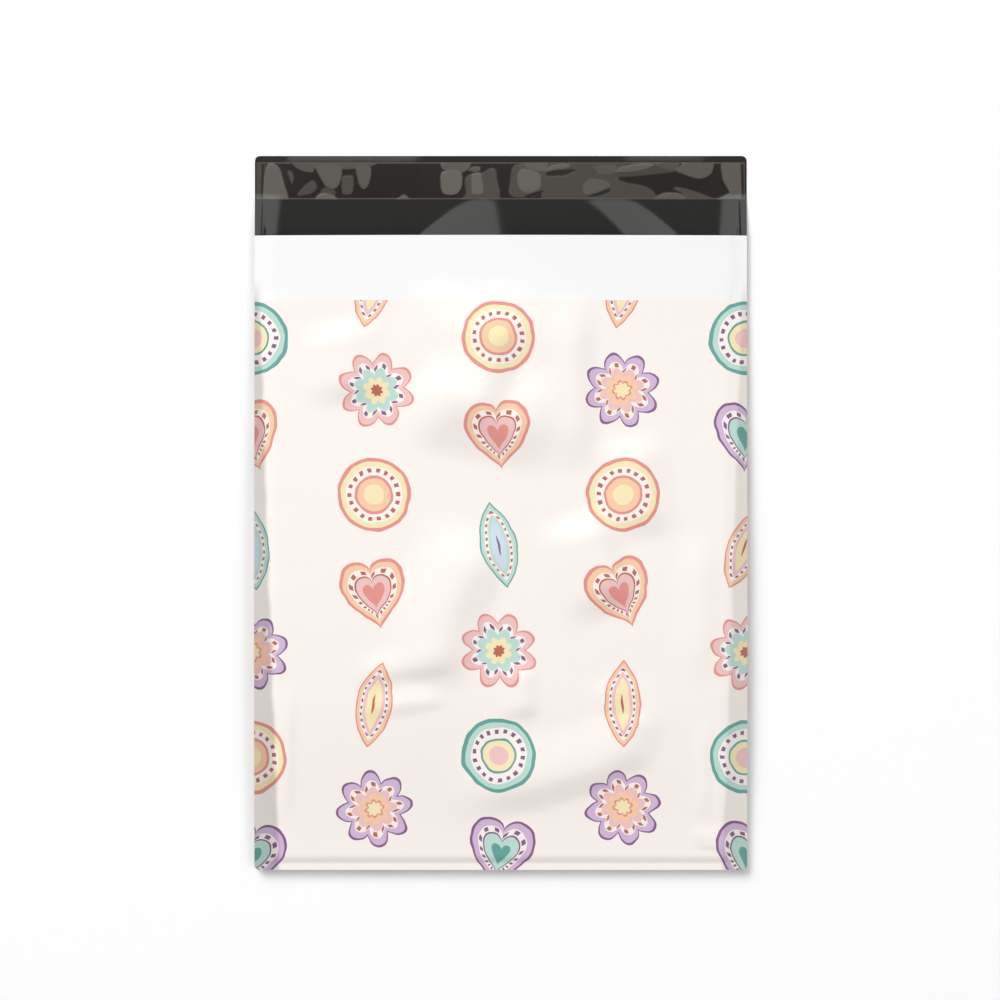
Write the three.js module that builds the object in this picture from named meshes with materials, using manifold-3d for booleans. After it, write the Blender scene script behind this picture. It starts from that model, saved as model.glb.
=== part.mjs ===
// Poly mailer bag, lying on its back with the flap open: millimetres, +Z up, flap towards +Y.
// One web of film is folded at the bottom and welded down both sides. Its back panel runs on
// past the mouth as the flap, which carries an adhesive strip under a clear release liner.
// A little air puffs the bag up, so the mouth stands ajar and the front panel folds softly.
import * as THREE from "three";
import { mergeVertices } from "three/addons/utils/BufferGeometryUtils.js";
import Module from "manifold-3d";

// The web of film: a 10 x 13 inch bag
const BAG_WIDTH = 254;
const BODY_LENGTH = 327;
const FLAP_LENGTH = 41.3;
const FILM = 0.0635;
const WELD_WIDTH = 4;
const CORNER_RADIUS = 2.5;
const BLANK_BAND = 33.5; // unprinted film below the mouth

// The puffed form, as heights above the surface that the bag lies on
const MOUTH_SHOULDER = 3.5;
const BELLY_SHOULDER = 9;
const FOLD_SHOULDER = 5.5;
const MOUTH_CROWN = 3.5; // how much the middle of the front panel stands above its shoulders
const BELLY_CROWN = 2;
const BELLY_FROM_MOUTH = 210;
const BELLY_FROM_FOLD = 90;
const SEAM_SHARE = 0.76; // height of the welds as a share of the shoulder's
const WELD_DROOP = 0.2; // how far the weld's free edge sinks back, as a share of its height
const SEAM_SETTLE = 21; // past the mouth the flap's edges come down to the surface in this length

// Widths of the slopes at the bag's edges
const MOUTH_SIDE_RUN = 5;
const FOLD_SIDE_RUN = 10;
const FOLD_FLAT = 3.6; // the film lies flat on itself this far in from the fold
const FOLD_RUN = 3.2;
const BACK_RUN = 11.5;

// The closure on the flap
const LINER_WIDTH = 19.1;
const LINER_INSET = 0.8; // from the flap's sides
const LINER_FROM_EDGE = 3.3; // from the flap's free edge
const LINER_THICKNESS = 0.06;
const ADHESIVE_WIDTH = 14;
const ADHESIVE_INSET = 3.5;
const ADHESIVE_THICKNESS = 0.08;
const LAYER_GAP = 0.04;

// Soft folds of the front panel: the points each runs through, the width over which the film falls
// away to the left of that run, the width of its slow rise on the right, and the fold's height
const FOLDS = [
  { line: [[13, 106], [2, 70], [-14, 38]], fall: 17, rise: 36, height: 3.6 },
  { line: [[36, 84], [-10, 78], [-58, 82]], fall: 30, rise: 30, height: 2 },
  { line: [[28, 26], [-10, 36], [-54, 44]], fall: 26, rise: 36, height: 4.6 },
  { line: [[43, 116], [45, 66], [47, 18]], fall: 15, rise: 30, height: 3 },
  { line: [[50, 6], [58, -20], [70, -50]], fall: 17, rise: 34, height: 4.2 },
  { line: [[79, 44], [83, 10], [87, -14]], fall: 20, rise: 28, height: 2.9 },
  { line: [[107, -6], [109, -44], [110, -92]], fall: 11, rise: 18, height: 1.5 },
  { line: [[4, -10], [-17, -56], [-25, -96]], fall: 22, rise: 34, height: 4.2 },
  { line: [[-70, 104], [-66, 80], [-64, 54]], fall: 26, rise: 30, height: 2.8 },
  { line: [[-18, -80], [-78, -88]], fall: 8, rise: 14, height: 1.3 },
  { line: [[16, -76], [18, -108]], fall: 9, rise: 16, height: 2 },
  { line: [[74, -81], [80, -107], [72, -127], [51, -138], [-34, -156]], fall: 16, rise: 28, height: 3 },
];
const FOLD_END = 0.3; // share of a fold's length over which it dies out at each end

// Flat facets of the flap, each between a left and a right line: their x at the mouth and at the
// liner's lower edge
const FLAP_FACETS = [
  { left: [-43, -21], right: [6, 3] },
  { left: [52, 37], right: [93, 73] },
];
const FACET_RISE = 1.05;
const FACET_SOFT = 12; // width of a facet's edges
const FACET_FADE = 30; // the facets run this far into the pocket

// Lines of the grids that the film is drawn on, as distances from an edge
const POCKET_SIDE = 4.7;
const POCKET_FOLD = 0.8;
const SIDE_LINES = [0, WELD_WIDTH, POCKET_SIDE, 8, 12, WELD_WIDTH + BACK_RUN, 20];
const FOLD_LINES = [0, POCKET_FOLD, FOLD_FLAT, 5, 7.5, 12];
const ACROSS_PITCH = 8.9;
const ALONG_PITCH = 11.3;
const FLAP_PITCH = 7;
const MOUTH_OVERCUT = 1;

const HALF_WIDTH = BAG_WIDTH / 2;
const FOLD_Y = -(BODY_LENGTH + FLAP_LENGTH) / 2;
const MOUTH_Y = FOLD_Y + BODY_LENGTH;
const FLAP_END_Y = MOUTH_Y + FLAP_LENGTH;
const LINER_TOP_Y = FLAP_END_Y - LINER_FROM_EDGE;
const LINER_LOW_Y = LINER_TOP_Y - LINER_WIDTH;
const ADHESIVE_MARGIN = (LINER_WIDTH - ADHESIVE_WIDTH) / 2;

const PRINTED = new THREE.Color("#fdf3ec");
const BLANK = new THREE.Color("#fbfafb");
const INSIDE = new THREE.Color("#2b2b29");

const wasm = await Module();
wasm.setup();

// 0 below 0, 1 above 1, and an even S between
function ease(t) {
  return THREE.MathUtils.smoothstep(t, 0, 1);
}

// A straight slope that rounds over to a level top
function shoulder(t) {
  const bend = 0.3;
  if (t <= 0) return 0;
  if (t < 1 - bend) return t;
  if (t < 1 + bend) return 1 - (1 + bend - t) ** 2 / (4 * bend);
  return 1;
}

// The place of a point by a line: how far it is to the left of the line's run, and the share of the
// line that is passed at the nearest point
function placeByLine(x, y, line) {
  const point = new THREE.Vector2(x, y);
  const corners = line.map((corner) => new THREE.Vector2(...corner));
  const runs = corners.slice(1).map((corner, i) => corner.distanceTo(corners[i]));
  const whole = runs.reduce((sum, run) => sum + run, 0);
  let nearest = Infinity;
  let side = 0;
  let along = 0;
  let passed = 0;
  runs.forEach((run, i) => {
    const way = corners[i + 1].clone().sub(corners[i]).divideScalar(run);
    const offset = point.clone().sub(corners[i]);
    const share = THREE.MathUtils.clamp(offset.dot(way), 0, run);
    const away = offset.distanceTo(way.clone().multiplyScalar(share));
    if (away < nearest) {
      nearest = away;
      side = Math.sign(way.cross(offset)) * away;
      along = (passed + share) / whole;
    }
    passed += run;
  });
  return { side, along };
}

// Height of the front panel's folds. Each falls away to the left of its run, climbs slowly on the
// right and dies out at both ends.
function foldHeight(x, y) {
  let height = 0;
  for (const fold of FOLDS) {
    const { side, along } = placeByLine(x, y, fold.line);
    const crest = side + fold.fall / 2;
    const profile = crest < 0 ? ease(1 + crest / fold.rise) : ease(1 - crest / fold.fall);
    height += fold.height * profile * ease(along / FOLD_END) * ease((1 - along) / FOLD_END);
  }
  return height;
}

// Creased facets of the flap, which tip towards its free edge and fade into the pocket
function facetHeight(x, y) {
  const up = THREE.MathUtils.clamp((y - MOUTH_Y) / (LINER_LOW_Y - MOUTH_Y), 0, 1);
  const fade = ease((y - MOUTH_Y + FACET_FADE) / FACET_FADE);
  let share = 0;
  for (const { left, right } of FLAP_FACETS) {
    const pastLeft = ease((x - THREE.MathUtils.lerp(...left, up)) / FACET_SOFT);
    const beforeRight = ease((THREE.MathUtils.lerp(...right, up) - x) / FACET_SOFT);
    share += pastLeft * beforeRight * (1 - up);
  }
  return FACET_RISE * share * fade;
}

// A height that goes from the mouth's value to the belly's
function towardsBelly(y, atMouth, atBelly) {
  return THREE.MathUtils.lerp(atMouth, atBelly, ease((MOUTH_Y - y) / BELLY_FROM_MOUTH));
}

function shoulderHeight(y) {
  const body = towardsBelly(y, MOUTH_SHOULDER, BELLY_SHOULDER);
  return THREE.MathUtils.lerp(FOLD_SHOULDER, body, ease((y - FOLD_Y) / BELLY_FROM_FOLD));
}

// The welds stand at part of the puffed height, and settle onto the surface along the flap
function seamHeight(x, y) {
  const settle = 1 - THREE.MathUtils.clamp((y - MOUTH_Y) / SEAM_SETTLE, 0, 1);
  const droop = WELD_DROOP * (1 - Math.min(1, (HALF_WIDTH - Math.abs(x)) / WELD_WIDTH));
  return SEAM_SHARE * shoulderHeight(y) * settle * (1 - droop);
}

// How far a point lies past the weld at its side
function pastWeld(x) {
  return HALF_WIDTH - Math.abs(x) - WELD_WIDTH;
}

// 0 at the fold, 1 where a panel has come in from it
function pastFold(y, run) {
  return shoulder((y - FOLD_Y - FOLD_FLAT) / run);
}

// Outer face of the back panel and the flap, which lie flat inside a straight slope from the welds
function backHeight(x, y) {
  const inside = THREE.MathUtils.clamp(pastWeld(x) / BACK_RUN, 0, 1) * pastFold(y, BACK_RUN);
  return seamHeight(x, y) * (1 - inside) + facetHeight(x, y);
}

function backInnerHeight(x, y) {
  return backHeight(x, y) + FILM;
}

// Outer face of the front panel
function frontHeight(x, y) {
  const run = THREE.MathUtils.lerp(FOLD_SIDE_RUN, MOUTH_SIDE_RUN, (y - FOLD_Y) / BODY_LENGTH);
  const inside = shoulder(pastWeld(x) / run) * pastFold(y, FOLD_RUN);
  const seam = seamHeight(x, y);
  const arch = Math.cos((Math.PI / 2) * Math.min(1, Math.abs(x) / (HALF_WIDTH - WELD_WIDTH)));
  const rise = towardsBelly(y, MOUTH_CROWN, BELLY_CROWN) * ease((y - FOLD_Y) / BELLY_FROM_FOLD);
  const puff = shoulderHeight(y) - seam + arch * rise + foldHeight(x, y);
  return seam + 2 * FILM + puff * inside;
}

function frontInnerHeight(x, y) {
  return frontHeight(x, y) - FILM;
}

function evenLines(from, to, pitch) {
  const count = Math.ceil((to - from) / pitch);
  return Array.from({ length: count }, (_, i) => from + ((to - from) * (i + 1)) / count);
}

// Closed sheet between two height functions, on the grid of the given lines
function sheetBetween(xs, ys, low, high) {
  const positions = [];
  const index = [];
  for (const height of [low, high]) {
    for (const y of ys) {
      for (const x of xs) positions.push(x, y, height(x, y));
    }
  }
  const columns = xs.length;
  const layer = columns * ys.length;
  const at = (column, row, top) => top * layer + row * columns + column;
  const quad = (a, b, c, d) => index.push(a, b, c, a, c, d);
  const lastColumn = columns - 1;
  const lastRow = ys.length - 1;
  for (let r = 0; r < lastRow; r++) {
    for (let c = 0; c < lastColumn; c++) {
      quad(at(c, r, 1), at(c + 1, r, 1), at(c + 1, r + 1, 1), at(c, r + 1, 1));
      index.push(at(c, r, 0), at(c + 1, r + 1, 0), at(c + 1, r, 0));
      index.push(at(c, r, 0), at(c, r + 1, 0), at(c + 1, r + 1, 0));
    }
    quad(at(0, r + 1, 0), at(0, r, 0), at(0, r, 1), at(0, r + 1, 1));
    quad(at(lastColumn, r, 0), at(lastColumn, r + 1, 0), at(lastColumn, r + 1, 1), at(lastColumn, r, 1));
  }
  for (let c = 0; c < lastColumn; c++) {
    quad(at(c, 0, 0), at(c + 1, 0, 0), at(c + 1, 0, 1), at(c, 0, 1));
    quad(at(c + 1, lastRow, 0), at(c, lastRow, 0), at(c, lastRow, 1), at(c + 1, lastRow, 1));
  }
  const geometry = new THREE.BufferGeometry();
  geometry.setAttribute("position", new THREE.Float32BufferAttribute(positions, 3));
  geometry.setIndex(index);
  return geometry;
}

function toSolid(geometry) {
  const plain = geometry.clone();
  plain.deleteAttribute("normal");
  plain.deleteAttribute("uv");
  const merged = mergeVertices(plain);
  const vertProperties = new Float32Array(merged.attributes.position.array);
  const triVerts = new Uint32Array(merged.index.array);
  return new wasm.Manifold(new wasm.Mesh({ numProp: 3, vertProperties, triVerts }));
}

function toGeometry(solid) {
  const mesh = solid.getMesh();
  const geometry = new THREE.BufferGeometry();
  geometry.setAttribute("position", new THREE.BufferAttribute(mesh.vertProperties, 3));
  geometry.setIndex(new THREE.BufferAttribute(mesh.triVerts, 1));
  return geometry;
}

// The whole web's outline with its rounded corners, as a tall block to cut the film by
function outlineBlock() {
  const low = -1;
  const tall = 40;
  const r = CORNER_RADIUS;
  const x = HALF_WIDTH;
  const shape = new THREE.Shape();
  shape.absarc(x - r, FLAP_END_Y - r, r, 0, Math.PI / 2);
  shape.absarc(r - x, FLAP_END_Y - r, r, Math.PI / 2, Math.PI);
  shape.absarc(r - x, FOLD_Y + r, r, Math.PI, Math.PI * 1.5);
  shape.absarc(x - r, FOLD_Y + r, r, Math.PI * 1.5, Math.PI * 2);
  const block = new THREE.ExtrudeGeometry(shape, { depth: tall, bevelEnabled: false, curveSegments: 4 });
  return block.translate(0, 0, low);
}

// Each face takes the colour of the film's outside, of its unprinted band or of its inside
function paintFilm(geometry) {
  const painted = geometry.toNonIndexed();
  painted.computeVertexNormals();
  const { position, normal } = painted.attributes;
  const colours = new Float32Array(position.count * 3);
  for (let i = 0; i < position.count; i += 3) {
    const x = (position.getX(i) + position.getX(i + 1) + position.getX(i + 2)) / 3;
    const y = (position.getY(i) + position.getY(i + 1) + position.getY(i + 2)) / 3;
    const z = (position.getZ(i) + position.getZ(i + 1) + position.getZ(i + 2)) / 3;
    const facesUp = normal.getZ(i) > 0;
    const above = z - backHeight(x, y);
    const isFront = facesUp && y < MOUTH_Y && (above > 3 * FILM || Math.abs(x) > HALF_WIDTH - POCKET_SIDE);
    const isBack = !facesUp && above < FILM;
    let colour = isFront || isBack ? PRINTED : INSIDE;
    if (isFront && y > MOUTH_Y - BLANK_BAND) colour = BLANK;
    for (let corner = i; corner < i + 3; corner++) colour.toArray(colours, corner * 3);
  }
  painted.setAttribute("color", new THREE.BufferAttribute(colours, 3));
  return painted;
}

const middleLines = evenLines(SIDE_LINES.at(-1), HALF_WIDTH, ACROSS_PITCH);
const sideToMiddle = [...SIDE_LINES, ...middleLines].map((distance) => distance - HALF_WIDTH);
const acrossLines = [...sideToMiddle, ...sideToMiddle.slice(0, -1).reverse().map((x) => -x)];
const foldLines = FOLD_LINES.map((distance) => FOLD_Y + distance);
const bodyLines = [...foldLines, ...evenLines(foldLines.at(-1), MOUTH_Y, ALONG_PITCH)];
const adhesiveLines = [LINER_LOW_Y + ADHESIVE_MARGIN, LINER_TOP_Y - ADHESIVE_MARGIN];
const linerLines = [LINER_LOW_Y, ...adhesiveLines, LINER_TOP_Y];
const flapLines = [...evenLines(MOUTH_Y, LINER_LOW_Y, FLAP_PITCH), ...linerLines.slice(1), FLAP_END_Y];

function bagFilm() {
  const pocketAcross = acrossLines.filter((x) => Math.abs(x) <= HALF_WIDTH - POCKET_SIDE);
  const pocketAlong = bodyLines.filter((y) => y >= FOLD_Y + POCKET_FOLD);
  const pouch = toSolid(sheetBetween(acrossLines, bodyLines, backHeight, frontHeight));
  const pocketEnd = [...pocketAlong, MOUTH_Y + MOUTH_OVERCUT];
  const pocket = toSolid(sheetBetween(pocketAcross, pocketEnd, backInnerHeight, frontInnerHeight));
  const flapStart = bodyLines.slice(-2);
  const flap = toSolid(sheetBetween(acrossLines, [...flapStart, ...flapLines], backHeight, backInnerHeight));
  const web = pouch.subtract(pocket).add(flap);
  return paintFilm(toGeometry(web.intersect(toSolid(outlineBlock()))));
}

// A strip that follows the flap's inner face at a given height above it
function flapStrip(inset, ys, base, thickness) {
  const inner = acrossLines.filter((x) => Math.abs(x) < HALF_WIDTH - inset);
  const xs = [inset - HALF_WIDTH, ...inner, HALF_WIDTH - inset];
  const low = (x, y) => backInnerHeight(x, y) + base;
  return sheetBetween(xs, ys, low, (x, y) => low(x, y) + thickness);
}

function subPart(name, geometry, finish) {
  const material = new THREE.MeshStandardMaterial({ metalness: 0, ...finish });
  const mesh = new THREE.Mesh(geometry, material);
  mesh.name = name;
  return mesh;
}

const adhesiveBase = LAYER_GAP;
const linerBase = adhesiveBase + ADHESIVE_THICKNESS + LAYER_GAP;
const adhesive = flapStrip(ADHESIVE_INSET, adhesiveLines, adhesiveBase, ADHESIVE_THICKNESS);
const liner = flapStrip(LINER_INSET, linerLines, linerBase, LINER_THICKNESS);

const mailer = new THREE.Group();
mailer.add(subPart("bag_film", bagFilm(), { vertexColors: true, roughness: 0.3 }));
mailer.add(subPart("adhesive_strip", adhesive, { color: "#3a352e", roughness: 0.5 }));
mailer.add(subPart("release_liner", liner, { color: "#4f4b44", roughness: 0.12 }));

export default mailer;
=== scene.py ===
"""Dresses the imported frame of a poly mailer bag: one web of printed film that is folded at the
bottom, welded down both sides and puffed by a little air, with its flap open and the glue strip
still under its clear release liner. The bag lies on a white studio floor, seen from above."""

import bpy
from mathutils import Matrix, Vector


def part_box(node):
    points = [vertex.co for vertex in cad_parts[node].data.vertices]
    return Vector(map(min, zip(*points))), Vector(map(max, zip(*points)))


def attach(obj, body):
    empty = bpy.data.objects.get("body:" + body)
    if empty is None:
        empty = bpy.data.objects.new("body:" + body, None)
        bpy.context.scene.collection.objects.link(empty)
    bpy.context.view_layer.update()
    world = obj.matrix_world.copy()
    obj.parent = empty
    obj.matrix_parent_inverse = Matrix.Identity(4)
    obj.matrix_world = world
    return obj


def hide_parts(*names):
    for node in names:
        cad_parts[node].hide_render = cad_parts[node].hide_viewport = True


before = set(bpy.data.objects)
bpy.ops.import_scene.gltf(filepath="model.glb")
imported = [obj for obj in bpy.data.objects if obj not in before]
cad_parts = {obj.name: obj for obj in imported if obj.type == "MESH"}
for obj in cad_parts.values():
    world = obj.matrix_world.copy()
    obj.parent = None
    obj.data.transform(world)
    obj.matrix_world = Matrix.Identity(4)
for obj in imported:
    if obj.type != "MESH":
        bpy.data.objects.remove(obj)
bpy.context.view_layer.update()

import math

import bpy
import numpy as np
from mathutils import Vector

bl_info = {
    "name": "Poly Mailer Bag",
    "version": (1, 0, 0),
    "blender": (4, 5, 0),
    "location": "View3D > Sidebar > Mailer",
    "description": "Builds a puffed, printed mailing bag with its glue flap open",
    "category": "Add Mesh",
}

MM = 0.001
TINY = 1e-9  # keeps a division or a search clear of rounding

# Soft folds of the front panel, in millimetres from the bag's middle: the points each runs through,
# the width over which the film falls away to its left, the width of the slow rise to its right,
# and its height
FOLDS = (
    (((13, 106), (2, 70), (-14, 38)), 17, 36, 3.6),
    (((36, 84), (-10, 78), (-58, 82)), 30, 30, 2.0),
    (((28, 26), (-10, 36), (-54, 44)), 26, 36, 4.6),
    (((43, 116), (45, 66), (47, 18)), 15, 30, 3.0),
    (((50, 6), (58, -20), (70, -50)), 17, 34, 4.2),
    (((79, 44), (83, 10), (87, -14)), 20, 28, 2.9),
    (((107, -6), (109, -44), (110, -92)), 11, 18, 1.5),
    (((4, -10), (-17, -56), (-25, -96)), 22, 34, 4.2),
    (((-70, 104), (-66, 80), (-64, 54)), 26, 30, 2.8),
    (((-18, -80), (-78, -88)), 8, 14, 1.3),
    (((-23, -98), (-76, -106)), 6, 10, 1.0),
    (((16, -76), (18, -108)), 9, 16, 2.0),
    (((74, -81), (80, -107), (72, -127), (51, -138), (20, -147), (-34, -156)), 16, 28, 3.0),
    (((44, -92), (60, -86), (76, -90)), 9, 16, 1.0),
    (((-106, -84), (-107, -124), (-108, -162)), 4, 8, 0.8),
    (((107, -104), (108, -162)), 4, 8, 0.8),
    (((116, -170), (96, -167)), 3, 6, 0.7),
    (((118, -174), (98, -172)), 2.5, 5, 0.6),
)

# Flat facets of the flap, each between a left and a right line: their x at the mouth and at the
# liner's lower edge
FLAP_FACETS = (
    ((-43, -21), (6, 3)),
    ((52, 37), (93, 73)),
)

# Places where the liner has lifted off the glue: how far, and points round the edge of each, as the
# distance from the bag's middle and from the liner's lower edge. Later ones lie over earlier ones,
# and one that is lifted by 0 is pressed down, such as the lines of the welds at both ends.
PATCHES = (
    (0.45, ((-127, 21), (-122, 21), (-123.5, -2), (-127, -2))),
    (0.9, ((-122.5, -2), (-122, 13), (-120, 18), (-117, 18), (-114, 15), (-112, 8), (-110, -2))),
    (0.5, ((-110, 14), (-108, 14), (-107, 11), (-108, 8))),
    (0.45, ((-105, 2), (-101, 7), (-97, 9.5), (-95, 6), (-98, 3))),
    (0.65, ((-107, 17.5), (-105, 21), (-65, 21), (-67, 17), (-80, 15.5), (-95, 16), (-97, 14),
            (-102, 14.5))),
    (0.8, ((-95, 17), (-83, 17), (-83, 9), (-86, 5.5), (-90, 6.5), (-93, 11))),
    (0.4, ((-93, 4), (-90, 6), (-85.5, 4.5), (-86, 1.5), (-90, 2.5))),
    (1.0, ((-96, -2), (-93, 3), (-86, 1.5), (-85, -2))),
    (0.5, ((-82, 11), (-80.5, 12), (-77, 12), (-76, 10), (-76.5, 4), (-78, 2.5), (-81, 2.5), (-82, 4))),
    (0.75, ((-74.5, 17), (-68, 17), (-67, 14), (-68, 8.5), (-70, 5.5), (-72, 6), (-73.5, 9))),
    (0.8, ((-55, -2), (-51, 1.8), (-49, 1.8), (-46, -2))),
    (0.75, ((-30, 19), (-16, 19), (-19, 14), (-29, 15))),
    (1.0, ((-31, 12), (-29, 14.5), (-21, 14.5), (-20, 8), (-22, 3.5), (-26, 2.3), (-30, 3.5),
           (-31, 8))),
    (0.5, ((-20, -2), (-18, 3), (-18.5, 10), (-15, 13), (-10, 13.3), (-6, 15.5), (-3, 15.5),
           (-2, 11), (-1.5, -2))),
    (0.65, ((-17, 15), (-14.5, 16.5), (-11, 16.5), (-10.5, 15), (-13, 14))),
    (1.0, ((-15, 12), (-13, 13.5), (-11, 13.5), (-10, 12), (-9, 4), (-11, 2.7), (-14, 2.7), (-15, 4))),
    (0.5, ((5, 2), (5, 10), (6, 16), (10, 18), (23, 18), (23.5, 12), (22, 4.5), (16, 1.3))),
    (0.45, ((22.5, -2), (22, 11), (25, 12), (33, 12.3), (38, 14.5), (41, 13.5), (42, 9), (42.5, -2))),
    (0.45, ((24, 21), (63, 21), (60.5, 14.5), (52, 13), (41, 14), (35, 15.3), (23.5, 13.7))),
    (0.45, ((40, -2), (40, 16), (59, 16), (59, -2))),
    (1.0, ((8.5, 11), (10, 15), (14.5, 15.3), (19.5, 13.3), (20.5, 11), (20, 6), (14, 3.3), (9.5, 6))),
    (0, ((12, 1.5), (16, 3), (21.5, 4.5), (21.3, 3.3), (17.5, 1.7), (13.5, 1))),
    (0.85, ((12, 17.7), (13, 21), (24, 21), (24, 17.5), (22, 14.5), (15, 15.6))),
    (0.9, ((22, 14.5), (24.5, 16.5), (29, 18), (35, 18), (35, 16.5), (28, 15.3))),
    (0.05, ((23.5, 12.3), (25, 14.5), (33, 15.3), (38.5, 15.3), (36, 14), (32, 12.3))),
    (0.65, ((49, 17), (59, 17.5), (59, 14), (56, 13), (51.5, 13), (49.5, 14.5))),
    (0.75, ((42.5, 7), (46, 10.3), (52, 10), (56.5, 7.5), (52, 4.5), (46, 2.5), (43, 3))),
    (0.05, ((44.5, 1.5), (49, 3), (55.5, 5.5), (56.5, 4), (52, 2), (47.5, 1.2))),
    (0.4, ((59, 13.5), (65, 13.7), (79.5, 18), (90, 14.7), (82, 13.2), (62, 11.5))),
    (0.85, ((59, 14), (62, 16.5), (69, 18), (79, 18), (74, 15.5), (65.5, 14))),
    (0.45, ((57, -2), (59, 9), (65.5, 8.3), (74, 6.7), (79, 3.7), (80, -2))),
    (0.6, ((79.5, 18), (92, 21), (90, 15))),
    (0.75, ((90, 15), (92.5, 17), (98, 21), (109, 21), (109.5, 15), (107, 12), (102.5, 10.7),
            (97, 12))),
    (0.5, ((89, 5.5), (92.5, 6), (101, 3.7), (109, 0.5), (110, -2), (95, -2), (93.5, 3))),
    (0.8, ((78, -2), (82.5, 2.5), (88.5, 3.3), (94, 2.2), (95.5, -2))),
    (0.8, ((114.5, 21), (123, 21), (124.3, 11), (125.5, -2), (110, -2), (117, 2.5), (118, 4),
           (114.5, 11))),
    (0.4, ((125, 21), (127, 21), (127, -2), (126, -2))),
    (0, ((-123.2, 21), (-122.2, 21), (-123, -2), (-124, -2))),
    (0, ((124, 21), (125, 21), (125.6, -2), (124.6, -2))),
)


def linear(hex_colour):
    """An sRGB hex colour as the linear red, green, blue and alpha that shaders take."""
    channels = [int(hex_colour[i:i + 2], 16) / 255 for i in (1, 3, 5)]
    curve = [c / 12.92 if c <= 0.04045 else ((c + 0.055) / 1.055) ** 2.4 for c in channels]
    return (*curve, 1.0)


def length(name, default_mm, description):
    """A length property, shown in the scene's units."""
    return bpy.props.FloatProperty(
        name=name, description=description, default=default_mm * MM, unit="LENGTH", precision=5
    )


def colour(name, hex_colour, description):
    """A colour property that starts from an sRGB hex value."""
    return bpy.props.FloatVectorProperty(
        name=name, description=description, default=linear(hex_colour), size=4, subtype="COLOR",
        min=0, max=1,
    )


class MailerSizes(bpy.types.PropertyGroup):
    """Sizes of the bag that a user would change"""

    body_length: length("Body length", 327, "From the bottom fold to the mouth")
    film: length("Film", 0.0635, "Thickness of the film")
    weld_width: length("Weld width", 4, "Width of the fused band down each side")
    corner_radius: length("Corner radius", 2.5, "Radius of the web's corners")
    blank_band: length("Blank band", 33.5, "Unprinted film below the mouth")
    mouth_shoulder: length("Mouth shoulder", 3.5, "Height of the front panel's shoulders at the mouth")
    belly_shoulder: length("Belly shoulder", 9.0, "Height of the shoulders where the bag is fullest")
    fold_shoulder: length("Fold shoulder", 5.5, "Height of the shoulder at the bottom fold")
    mouth_crown: length("Mouth crown", 3.5, "Rise of the middle over the shoulders at the mouth")
    belly_crown: length("Belly crown", 2, "The same rise where the bag is fullest")
    motif_across: length("Motif pitch across", 64, "Spacing of the printed motifs across the bag")
    motif_along: length("Motif pitch along", 54, "Spacing of the printed motifs along the bag")


class MailerColours(bpy.types.PropertyGroup):
    """Colours of the film, its print and its closure"""

    ground: colour("Ground", "#fdf5ef", "Cream ink that floods the printed film")
    blank: colour("Blank", "#faf9fa", "Bare white film of the band")
    pink: colour("Pink", "#f2c6c4", "Pink ink")
    peach: colour("Peach", "#facea9", "Peach ink")
    butter: colour("Butter", "#faeabb", "Butter yellow ink")
    mint: colour("Mint", "#bfe0d5", "Mint ink")
    lilac: colour("Lilac", "#d6bada", "Lilac ink")
    blue: colour("Blue", "#d3e0ee", "Pale blue ink")
    coral: colour("Coral", "#e8958b", "Coral ink")
    terracotta: colour("Terracotta", "#c06a58", "Terracotta ink")
    teal: colour("Teal", "#66a79e", "Teal ink")
    plum: colour("Plum", "#8a5f8c", "Plum ink")
    # Painted shade: a grey multiplied into the printed film over the welds and the slopes beside them
    painted_side_shade: colour("Painted side shade", "#d4d4d4", "Grey painted over the welds and side slopes as shade")
    inside: colour("Inside", "#232420", "Black layer inside the bag")
    glue: colour("Glue", "#3a332a", "Hot-melt strip")
    liner_down: colour("Liner down", "#19130e", "Liner where it lies on the glue")
    liner_up: colour("Liner up", "#635f57", "Liner where it has lifted")


# Shape of the puffed film, in millimetres

BELLY_FROM_MOUTH = 210.0  # the bag is fullest this far below the mouth
BELLY_FROM_FOLD = 90.0  # and this far above the bottom fold
SEAM_SHARE = 0.76  # height of the welds as a share of the shoulder's
WELD_DROOP = 0.2  # how far the weld's free edge sinks back, as a share of its height
SEAM_SETTLE = 21.0  # past the mouth the flap's edges come down to the surface in this length

# Widths of the slopes at the bag's edges
MOUTH_SIDE_RUN = 5.0
FOLD_SIDE_RUN = 10.0
FOLD_FLAT = 3.6  # the two panels lie together this far above the bottom fold
FOLD_RUN = 3.2
BACK_RUN = 11.5
SHOULDER_BEND = 0.3  # share of a slope that rounds over at its top
FOLD_END = 0.3  # share of a fold's length over which it dies out at each end

# Creases of the flap and its hem
FACET_RISE = 1.05
FACET_SOFT = 12.0  # width of a facet's edges
FACET_FADE = 30.0  # the facets run this far into the pocket
HEM_FACETS = ((-113, -40), (61, 109))  # left and right end of each
HEM_RISE = 0.085
HEM_SOFT = 5.0
WELD_STEP = 0.19
WELD_STEP_RUN = 0.3
WELD_STEP_FADE = 2.0

# Painted shade over the welds and the side slopes, and the waves beside the welds
SIDE_SHADE_FOLD = 13.0  # how far in from the sides, at the bottom fold and at the mouth
SIDE_SHADE_MOUTH = 1.5
SIDE_SHADE_STOP = 40.0  # it starts to give out this far below the mouth
SIDE_SHADE_STOP_RUN = 20.0
SIDE_SHADE_SOFT = 2.4
SIDE_SHADE_WAVE = 0.5
SIDE_SHADE_RIGHT = 0.6  # the painted shade is lighter on the right, whose slope the lamps already leave darker
PUCKER_RISE = 0.35
PUCKER_REACH = 9.0
PUCKER_PHASE, SIDE_SHADE_PHASE = 2, 5
RIPPLE_WAVES = ((2.9, 0.5), (4.7, 0.9), (7.3, 0.7))  # size and share of each wave


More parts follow.
